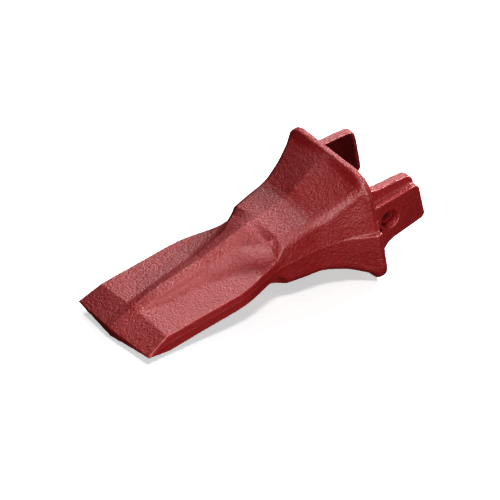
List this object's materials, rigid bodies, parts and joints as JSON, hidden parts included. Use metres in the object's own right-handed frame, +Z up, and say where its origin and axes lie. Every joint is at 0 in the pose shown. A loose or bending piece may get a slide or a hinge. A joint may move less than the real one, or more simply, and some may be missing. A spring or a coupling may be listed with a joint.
{
  "type": "excavator bucket tooth",
  "caption": "Cast bucket tooth with a bevelled chisel edge, ribbed blade, flared collar, hollow nose socket and two ears with quarter-turn locks.",
  "frame": {"origin": "centre of the bounding box at floor level, the tooth resting on the rib behind its cutting edge and on its collar's lower edge", "axes": "+Z up from the floor, +X from the cutting edge towards the ears, +Y across the tooth to its left ear; the casting's own centre line rises 11.5 degrees towards +X"},
  "size_m": [0.3426, 0.1472, 0.1314],
  "materials": {
    "cast_red": "matt dark red coat on a sand-cast steel surface",
    "lock_steel": "dark phosphated forged steel",
    "urethane": "matt moulded urethane",
    "zinc_steel": "zinc-plated",
    "spring_steel": "blued spring steel",
    "seal_rubber": "smooth black nitrile",
    "plug_rubber": "matt black moulded rubber"
  },
  "bodies": {
    "tooth": {"tooth_casting": "cast_red", "lock_sleeve_left": "urethane", "lock_sleeve_right": "urethane", "retaining_ring_left": "zinc_steel", "retaining_ring_right": "zinc_steel", "disc_spring_left": "spring_steel", "disc_spring_right": "spring_steel", "seal_ring_left": "seal_rubber", "seal_ring_right": "seal_rubber", "stop_pin_left": "zinc_steel", "stop_pin_right": "zinc_steel"},
    "lock_left": {"lock_pin_left": "lock_steel", "dust_plug_left": "plug_rubber"},
    "lock_right": {"lock_pin_right": "lock_steel", "dust_plug_right": "plug_rubber"}
  },
  "joints": [
    {"name": "lock_turn_left", "type": "hinge", "parent": "tooth", "child": "lock_left", "pos_m": [0.12868, 0.043, 0.06993], "axis": [0, 1, 0], "range_deg": [0, 90]},
    {"name": "lock_turn_right", "type": "hinge", "parent": "tooth", "child": "lock_right", "pos_m": [0.12868, -0.043, 0.06993], "axis": [0, 1, 0], "range_deg": [0, 90]}
  ]
}
